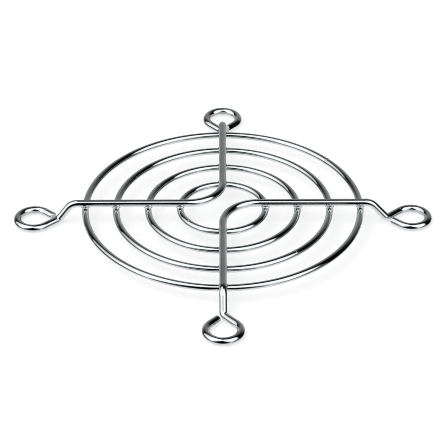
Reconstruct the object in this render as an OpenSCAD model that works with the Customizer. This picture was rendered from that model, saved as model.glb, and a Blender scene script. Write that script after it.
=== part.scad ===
// Wire finger guard for an 80 mm axial fan. Four round wire rings hang under two bent
// spoke wires; each spoke wire crosses every ring twice and ends in two open screw eyes.
// Millimetres. Z points away from the fan, z = 0 is the fan face the eyes sit on, and the
// origin is the middle of the four screw holes. The left arm points along -X, the back
// arm along +Y.

/* [Fan mounting] */
// Distance between neighbouring screw holes of the fan frame, centre to centre
hole_pitch = 71.5; // [70:0.5:80]
// Clear height from the fan face to the underside of the rings
ring_stand_off = 3.4; // [2:0.1:6]

/* [Rings] */
// Diameter of the ring wire
ring_wire_d = 1.8; // [1.5:0.1:2]
// Radius of the innermost ring, to the middle of its wire
inner_ring_r = 11.4; // [11.2:0.1:13]
// Step in radius from the first ring to the second and from the second to the third
ring_pitch = 8.55; // [6:0.05:10]
// Radius of the outermost ring, to the middle of its wire
outer_ring_r = 36.7; // [36:0.1:38]
// How far the butt weld that closes each ring swells above its wire
butt_weld_swell = 0.05; // [0.02:0.01:0.1]
// Length of that swelling along the wire
butt_weld_length = 0.5; // [0.3:0.1:1]

/* [Spoke wires] */
// Diameter of the spoke wire
spoke_wire_d = 2; // [1.8:0.1:2.2]
// Radius of the right-angle bend at the middle of each spoke wire
centre_bend_r = 9.5; // [6:0.1:9.6]
// Radius of the bend where each arm turns down outside the outermost ring
drop_bend_r = 3.2; // [2:0.1:3.4]
// Radius of the bend where each arm turns level into its eye
foot_bend_r = 1.6; // [1.3:0.1:2]
// How much fuller the wire stands round a bend than along a straight stretch
bend_swell = 0.02; // [0.02:0.01:0.05]
// How far the left arm runs past the outermost ring before it drops
left_overhang = 3.7; // [2.5:0.1:4.8]
// How far the back arm runs past the outermost ring before it drops
back_overhang = 3.4; // [2.5:0.1:4.8]
// How far the right arm runs past the outermost ring before it drops
right_overhang = 2.9; // [2.5:0.1:4.8]
// How far the front arm runs past the outermost ring before it drops
front_overhang = 3.1; // [2.5:0.1:4.8]

/* [Screw eyes] */
// Clear bore of each eye
eye_bore_d = 6.9; // [5.5:0.1:7.5]
// Angle between each side of the eye's neck and the arm
eye_flare = 42; // [41:1:48]
// Gap between the free end of the wire and the neck
eye_gap = 0.8; // [0.3:0.1:1.5]
// How far the inside of the eye is flattened by forming
eye_flat = 0.02; // [0.02:0.01:0.06]
// Width of the broken edge on the cut ends
end_chamfer = 0.15; // [0.05:0.05:0.3]

/* [Welds] */
// How far the spoke wires are pressed into the rings at the resistance welds
weld_set_down = 0.25; // [0.1:0.05:0.35]
// Radius of the collar of metal pressed out round each weld
weld_collar_r = 1; // [0.9:0.05:1.1]
// Thickness of that collar
weld_collar_t = 0.6; // [0.5:0.05:0.7]

/* [Hidden] */
plated_steel = [0.78, 0.79, 0.8];
$fn = 48;

// Wire sizes and heights
ring_r = ring_wire_d / 2;
spoke_r = spoke_wire_d / 2;
eye_z = spoke_r;
ring_z = ring_stand_off + ring_r;
spoke_z = ring_z + ring_r + spoke_r - weld_set_down;
arms = [0, 90, 180, 270];

// Ring sizes and the angle of each ring's butt weld
second_ring_r = inner_ring_r + ring_pitch;
third_ring_r = inner_ring_r + 2 * ring_pitch;
inner_joint = 217;
second_joint = 149;
third_joint = 312;
outer_joint = 39;

// Eye sizes, measured from the origin along an arm
eye_r = eye_bore_d / 2 + spoke_r - eye_flat;
eye_out = hole_pitch / sqrt(2);
neck_out = eye_out - eye_r / sin(eye_flare);
side_out = eye_out - eye_r * sin(eye_flare);
side_off = eye_r * cos(eye_flare);
free_run = (eye_gap + spoke_r * (1 + cos(2 * eye_flare))) / sin(2 * eye_flare);

// Weld collars: height of their middle above the ring wire's middle, and the length of
// arm that shapes each weld
collar_up = ring_r - 0.15;
weld_reach = 1.6;

// A straight stretch stops this far short of a bend, and the fuller bend laps it
shy = 0.01;
lap = 0.05;

// Point at a distance out along an arm and off to its left, at a height
function along(arm, out, off, z) =
    [out * cos(arm) - off * sin(arm), out * sin(arm) + off * cos(arm), z];
function unit(v) = v / norm(v);
function turn_at(a, b, c) = acos(unit(b - a) * unit(c - b));
function frame(at, x, y, z) = [
    [x[0], y[0], z[0], at[0]],
    [x[1], y[1], z[1], at[1]],
    [x[2], y[2], z[2], at[2]],
    [0, 0, 0, 1]
];
// Any direction square to u
function square_to(u) = unit(cross(abs(u[2]) < 0.9 ? [0, 0, 1] : [1, 0, 0], u));
// Length the bend at a corner takes from each side of it
function taken(path, bends, i) =
    i == 0 || i == len(path) - 1 ? 0
    : bends[i - 1] * tan(turn_at(path[i - 1], path[i], path[i + 1]) / 2);

// Spoke wire bent round Z from the X axis; flat is how far its inside is flattened
module arc(bend_r, turn, flat = 0) {
    lapped = lap / bend_r * 180 / PI;
    difference() {
        rotate_extrude(angle = turn + 2 * lapped, start = -lapped)
            translate([bend_r, 0])
            circle(r = spoke_r + bend_swell, $fn = 20);
        if (flat > 0)
            rotate_extrude(angle = turn)
            translate([bend_r / 4, -spoke_r])
            square([bend_r * 3 / 4 - spoke_r + flat, 2 * spoke_r]);
    }
}

// Straight spoke wire between two points
module stretch(a, b) {
    u = unit(b - a);
    s = square_to(u);
    multmatrix(frame(a + u * shy, s, cross(u, s), u))
        cylinder(r = spoke_r, h = norm(b - a) - 2 * shy, $fn = 20);
}

// Bent spoke wire that rounds the corner b on the way from a to c
module wire_bend(a, b, c, bend_r) {
    u = unit(b - a);
    v = unit(c - b);
    turn = turn_at(a, b, c);
    side = unit(v - u * (u * v));
    start = b - u * bend_r * tan(turn / 2);
    multmatrix(frame(start + side * bend_r, -side, u, cross(-side, u)))
        arc(bend_r, turn);
}

// Spoke wire along a path, each inner corner rounded by its own bend
module bent_wire(path, bends) {
    last = len(path) - 1;
    for (i = [0 : last - 1]) {
        u = unit(path[i + 1] - path[i]);
        stretch(path[i] + u * taken(path, bends, i), path[i + 1] - u * taken(path, bends, i + 1));
    }
    for (i = [1 : last - 1])
        wire_bend(path[i - 1], path[i], path[i + 1], bends[i - 1]);
}

// Round part of the eye and its free side, which stops beside the neck
module eye(arm) {
    neck = along(arm, neck_out, 0, eye_z);
    free_side = along(arm, side_out, -side_off, eye_z);
    u = unit(neck - free_side);
    s = square_to(u);
    free_length = norm(neck - free_side) - free_run - end_chamfer - shy;
    translate(along(arm, eye_out, 0, eye_z))
        rotate([0, 0, arm - 90 - eye_flare])
        arc(eye_r, 180 + 2 * eye_flare, eye_flat);
    multmatrix(frame(free_side + u * shy, s, cross(u, s), u)) {
        cylinder(r = spoke_r, h = free_length, $fn = 20);
        translate([0, 0, free_length])
            cylinder(r1 = spoke_r, r2 = spoke_r - end_chamfer, h = end_chamfer, $fn = 20);
    }
}

// One spoke wire: eye, arm, centre bend, arm, eye
module spoke_wire(arm_a, overhang_a, arm_b, overhang_b) {
    path = [
        along(arm_a, side_out, side_off, eye_z),
        along(arm_a, neck_out, 0, eye_z),
        along(arm_a, outer_ring_r + overhang_a, 0, spoke_z),
        [0, 0, spoke_z],
        along(arm_b, outer_ring_r + overhang_b, 0, spoke_z),
        along(arm_b, neck_out, 0, eye_z),
        along(arm_b, side_out, side_off, eye_z)
    ];
    bent_wire(path, [foot_bend_r, drop_bend_r, centre_bend_r, drop_bend_r, foot_bend_r]);
    eye(arm_a);
    eye(arm_b);
}

// Collar of metal pressed out round one weld
module weld_collar(arm, r)
    translate(along(arm, r, 0, ring_z + collar_up))
    rotate_extrude($fn = 32)
    translate([weld_collar_r, 0])
    circle(r = weld_collar_t / 2, $fn = 16);

// Piece of an arm that presses into the ring below it
module arm_over(arm, r)
    translate(along(arm, r - weld_reach, 0, spoke_z))
    rotate([0, 90, arm])
    cylinder(r = spoke_r, h = 2 * weld_reach);

// One ring with its butt weld and its four welds to the arms
module ring(r, joint) {
    swell_turn = butt_weld_length / r * 180 / PI;
    difference() {
        union() {
            translate([0, 0, ring_z])
                rotate_extrude($fn = 72)
                translate([r, 0])
                circle(r = ring_r, $fn = 16);
            translate([0, 0, ring_z])
                rotate_extrude(angle = swell_turn, start = joint - swell_turn / 2)
                translate([r, 0])
                circle(r = ring_r + butt_weld_swell, $fn = 16);
            for (arm = arms) weld_collar(arm, r);
        }
        for (arm = arms) arm_over(arm, r);
    }
}

module ring_inner() color(plated_steel) ring(inner_ring_r, inner_joint);
module ring_second() color(plated_steel) ring(second_ring_r, second_joint);
module ring_third() color(plated_steel) ring(third_ring_r, third_joint);
module ring_outer() color(plated_steel) ring(outer_ring_r, outer_joint);
module spoke_wire_left_back() color(plated_steel) spoke_wire(180, left_overhang, 90, back_overhang);
module spoke_wire_right_front() color(plated_steel) spoke_wire(0, right_overhang, 270, front_overhang);

ring_inner();
ring_second();
ring_third();
ring_outer();
spoke_wire_left_back();
spoke_wire_right_front();
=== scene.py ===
"""Wire fan guard: plated wire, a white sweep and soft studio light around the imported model. Metres."""

import math

import bpy
from mathutils import Matrix, Vector

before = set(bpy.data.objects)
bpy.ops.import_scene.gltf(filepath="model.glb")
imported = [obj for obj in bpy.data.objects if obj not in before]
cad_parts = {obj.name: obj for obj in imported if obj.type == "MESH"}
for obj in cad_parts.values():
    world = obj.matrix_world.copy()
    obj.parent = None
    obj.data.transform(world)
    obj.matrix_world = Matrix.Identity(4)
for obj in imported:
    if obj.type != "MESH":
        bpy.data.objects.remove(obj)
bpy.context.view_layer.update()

# ---------------------------------------------------------------- camera
CAMERA_DISTANCE = 0.6506
CAMERA_ELEVATION = math.radians(34.02)
CAMERA_ROLL = math.radians(-0.23)
AIM_RIGHT = -0.00022
AIM_UP = -0.00371
AIM_HEIGHT = 0.0043
LENS = 197.3
SENSOR = 36


def add_camera():
    back = Vector((0, -math.cos(CAMERA_ELEVATION), math.sin(CAMERA_ELEVATION)))
    right = Vector((1, 0, 0))
    up = back.cross(right)
    turned_right = right * math.cos(CAMERA_ROLL) + up * math.sin(CAMERA_ROLL)
    turned_up = up * math.cos(CAMERA_ROLL) - right * math.sin(CAMERA_ROLL)
    place = back * CAMERA_DISTANCE + turned_right * AIM_RIGHT + turned_up * AIM_UP
    place.z += AIM_HEIGHT
    data = bpy.data.cameras.new("camera")
    data.lens = LENS
    data.sensor_width = SENSOR
    data.clip_start = 0.01
    camera = bpy.data.objects.new("camera", data)
    axes = Matrix((turned_right, turned_up, back)).transposed().to_4x4()
    camera.matrix_world = Matrix.Translation(place) @ axes
    bpy.context.scene.collection.objects.link(camera)
    bpy.context.scene.camera = camera


# Narrower than the default, for crisp edges on thin wire
PIXEL_FILTER = 1.0


# ---------------------------------------------------------------- node helpers
class Nodes:
    """Builds a node tree. A value is a socket or a number."""

    def __init__(self, tree):
        self.tree = tree

    def add(self, kind, **settings):
        node = self.tree.nodes.new(kind)
        for name, value in settings.items():
            setattr(node, name, value)
        return node

    def put(self, socket, value):
        if isinstance(value, bpy.types.NodeSocket):
            self.tree.links.new(value, socket)
        else:
            socket.default_value = value

    def math(self, operation, *values):
        node = self.add("ShaderNodeMath", operation=operation)
        for socket, value in zip(node.inputs, values):
            self.put(socket, value)
        return node.outputs[0]

    def smooth(self, value, start, end, low=0.0, high=1.0):
        """Rises smoothly from low at start to high at end."""
        node = self.add("ShaderNodeMapRange", interpolation_type="SMOOTHSTEP")
        for socket, item in zip(node.inputs, (value, start, end, low, high)):
            self.put(socket, item)
        return node.outputs[0]

    def window(self, value, low, high, soft):
        """1 between low and high, fading to 0 over soft inside each side."""
        rise = self.smooth(self.math("SUBTRACT", value, low), 0, soft)
        fall = self.smooth(self.math("SUBTRACT", high, value), 0, soft)
        return self.math("MULTIPLY", rise, fall)

    def blend(self, share, first, second):
        """first where share is 0, second where it is 1."""
        node = self.add("ShaderNodeMix", data_type="FLOAT")
        self.put(node.inputs[0], share)
        self.put(node.inputs[2], first)
        self.put(node.inputs[3], second)
        return node.outputs[0]


# ---------------------------------------------------------------- world
# Tones are as they would be seen, from 0 black to 1 white
PLAIN_LIGHT = 0.8
BLACK = 0.04
WALL_FOOT = 0.60
LEFT_SIDE = 0.26
RIGHT_FLAG = 0.06
FRONT_SIDE = 0.36
FLOOR_TONE = 0.94
LEFT_BOX = 1.10
RIGHT_BOX = 1.12
TOP_DIMMING = 0.25
FOOT_DIMMING = 0.30
DISPLAY_GAMMA = 2.2
STUDIO_GAIN = 1.3
# Middle of the camera's dark side, and of the right soft box's upper edge, in degrees east
DARKEST_EAST = -12
RIGHT_PEAK_EAST = 27


def add_world():
    """Plain white light, and for mirror reflections a studio: two soft boxes, dark flags and a grey wall.

    East and north are degrees from straight above, and zenith is the angle from it.
    """
    world = bpy.data.worlds.new("studio")
    bpy.context.scene.world = world
    world.use_nodes = True
    world.node_tree.nodes.clear()
    n = Nodes(world.node_tree)
    direction = n.add("ShaderNodeSeparateXYZ")
    n.put(direction.inputs[0], n.add("ShaderNodeTexCoord").outputs["Generated"])
    x, y, z = direction.outputs
    flat = n.math("SQRT", n.math("ADD", n.math("MULTIPLY", x, x), n.math("MULTIPLY", y, y)))
    flat = n.math("MAXIMUM", flat, 1e-4)
    zenith = n.math("DEGREES", n.math("ARCTAN2", flat, z))
    east = n.math("MULTIPLY", n.math("DIVIDE", x, flat), zenith)
    north = n.math("MULTIPLY", n.math("DIVIDE", y, flat), zenith)

    # wall behind: black overhead, lighter towards its foot, with darker sides
    left_drop = n.smooth(east, -12, -42, 0, 12)
    wall = n.smooth(n.math("SUBTRACT", north, left_drop), 12, 74, BLACK, WALL_FOOT)
    wall = n.blend(n.smooth(east, -74, -90), wall, LEFT_SIDE)
    shade = n.math("MULTIPLY", n.smooth(east, 48, 84), n.smooth(north, 96, 40))
    wall = n.blend(shade, wall, RIGHT_FLAG)
    # dark room on the camera's side, paler towards its sides
    from_darkest = n.math("ABSOLUTE", n.math("SUBTRACT", east, DARKEST_EAST))
    front = n.smooth(from_darkest, 8, 76, BLACK, FRONT_SIDE)
    tone = n.blend(n.smooth(north, -14, -4), front, wall)
    # white floor
    tone = n.blend(n.smooth(zenith, 103, 132), tone, FLOOR_TONE)

    # left soft box
    foot = n.math("MAXIMUM", n.math("MULTIPLY_ADD", east, 0.5, -36), -56)
    foot = n.math("SUBTRACT", foot, 2)
    top = n.math("MULTIPLY_ADD", east, -0.23, 23)
    top = n.math("SUBTRACT", top, n.smooth(east, -18, 2, 0, 27))
    box = n.math("MULTIPLY", n.window(east, -90, 9, 7), n.window(north, foot, top, 5))
    lit = n.math("SUBTRACT", LEFT_BOX, n.smooth(north, -2, 30, 0, TOP_DIMMING))
    tone = n.blend(box, tone, lit)
    # right soft box, with a sloping upper edge
    from_peak = n.math("ABSOLUTE", n.math("SUBTRACT", east, RIGHT_PEAK_EAST))
    top = n.math("MULTIPLY_ADD", from_peak, -0.43, 11)
    top = n.math("SUBTRACT", top, n.smooth(east, 56, 80, 0, 14))
    foot = n.math("MULTIPLY_ADD", east, -0.75, -49)
    box = n.math("MULTIPLY", n.window(east, -3, 81, 8), n.window(north, foot, top, 5))
    lit = n.math("SUBTRACT", RIGHT_BOX, n.smooth(north, -16, 8, 0, TOP_DIMMING))
    lit = n.math("SUBTRACT", lit, n.smooth(north, -52, -72, 0, FOOT_DIMMING))
    tone = n.blend(box, tone, lit)

    glossy = n.add("ShaderNodeLightPath").outputs["Is Glossy Ray"]
    studio = n.math("MULTIPLY", n.math("POWER", tone, DISPLAY_GAMMA), STUDIO_GAIN)
    background = n.add("ShaderNodeBackground")
    n.put(background.inputs["Strength"], n.blend(glossy, PLAIN_LIGHT, studio))
    output = n.add("ShaderNodeOutputWorld")
    n.put(output.inputs[0], background.outputs[0])


KEY_WATTS = 2.0


def add_key():
    """A wide soft lamp from the front left that gives the faint shadows on the floor."""
    data = bpy.data.lights.new("key", "AREA")
    data.shape = "RECTANGLE"
    data.size = 0.7
    data.size_y = 0.5
    data.energy = KEY_WATTS
    lamp = bpy.data.objects.new("key", data)
    lamp.location = (-0.35, -0.25, 0.75)
    lamp.rotation_euler = (Vector((0, 0, 0)) - lamp.location).to_track_quat("-Z", "Y").to_euler()
    lamp.visible_glossy = False
    bpy.context.scene.collection.objects.link(lamp)


# ---------------------------------------------------------------- floor
FLOOR_HALF = 1.2
FLOOR_WHITE = 0.6
FLOOR_GLOW = 0.56


def add_floor():
    """White floor; its glow, seen by the camera only, leaves just the stronger shadows."""
    half = FLOOR_HALF
    corners = [(-half, -half, 0), (half, -half, 0), (half, half, 0), (-half, half, 0)]
    mesh = bpy.data.meshes.new("floor")
    mesh.from_pydata(corners, [], [(0, 1, 2, 3)])
    floor = bpy.data.objects.new("floor", mesh)
    bpy.context.scene.collection.objects.link(floor)
    floor.visible_glossy = False
    material = bpy.data.materials.new("white_sweep")
    material.use_nodes = True
    material.node_tree.nodes.clear()
    n = Nodes(material.node_tree)
    diffuse = n.add("ShaderNodeBsdfDiffuse")
    diffuse.inputs["Color"].default_value = (FLOOR_WHITE, FLOOR_WHITE, FLOOR_WHITE, 1)
    glow = n.add("ShaderNodeEmission")
    camera_ray = n.add("ShaderNodeLightPath").outputs["Is Camera Ray"]
    n.put(glow.inputs["Strength"], n.math("MULTIPLY", camera_ray, FLOOR_GLOW))
    both = n.add("ShaderNodeAddShader")
    n.put(both.inputs[0], diffuse.outputs[0])
    n.put(both.inputs[1], glow.outputs[0])
    output = n.add("ShaderNodeOutputMaterial")
    n.put(output.inputs["Surface"], both.outputs[0])
    mesh.materials.append(material)


# ---------------------------------------------------------------- plated wire
def plated_wire():
    """Bright plating, a little uneven in tone, gloss and surface."""
    material = bpy.data.materials.new("plated_wire")
    material.use_nodes = True
    tree = material.node_tree
    n = Nodes(tree)
    surface = tree.nodes["Principled BSDF"]
    surface.inputs["Metallic"].default_value = 1.0
    place = n.add("ShaderNodeTexCoord").outputs["Object"]
    # plating that is a little uneven in tone
    tone = n.add("ShaderNodeTexNoise")
    n.put(tone.inputs["Vector"], place)
    tone.inputs["Scale"].default_value = 260
    tone.inputs["Detail"].default_value = 3
    ramp = n.add("ShaderNodeValToRGB")
    ramp.color_ramp.elements[0].position = 0.3
    ramp.color_ramp.elements[0].color = (0.67, 0.70, 0.705, 1)
    ramp.color_ramp.elements[1].position = 0.62
    ramp.color_ramp.elements[1].color = (0.76, 0.785, 0.79, 1)
    n.put(ramp.inputs[0], tone.outputs[0])
    n.put(surface.inputs["Base Color"], ramp.outputs[0])
    haze = n.add("ShaderNodeTexNoise")
    n.put(haze.inputs["Vector"], place)
    haze.inputs["Scale"].default_value = 900
    haze.inputs["Detail"].default_value = 4
    n.put(surface.inputs["Roughness"], n.smooth(haze.outputs[0], 0.35, 0.75, 0.03, 0.09))
    # fine unevenness of the drawn wire under the plating
    grain = n.add("ShaderNodeTexNoise")
    n.put(grain.inputs["Vector"], place)
    grain.inputs["Scale"].default_value = 1400
    grain.inputs["Detail"].default_value = 3
    bump = n.add("ShaderNodeBump")
    bump.inputs["Strength"].default_value = 0.10
    bump.inputs["Distance"].default_value = 0.00004
    n.put(bump.inputs["Height"], grain.outputs[0])
    n.put(surface.inputs["Normal"], bump.outputs[0])
    return material


def dress(material):
    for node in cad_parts.values():
        node.data.materials.clear()
        node.data.materials.append(material)


add_camera()
add_world()
add_key()
add_floor()
dress(plated_wire())

scene = bpy.context.scene
scene.view_settings.view_transform = "Standard"
scene.cycles.filter_width = PIXEL_FILTER
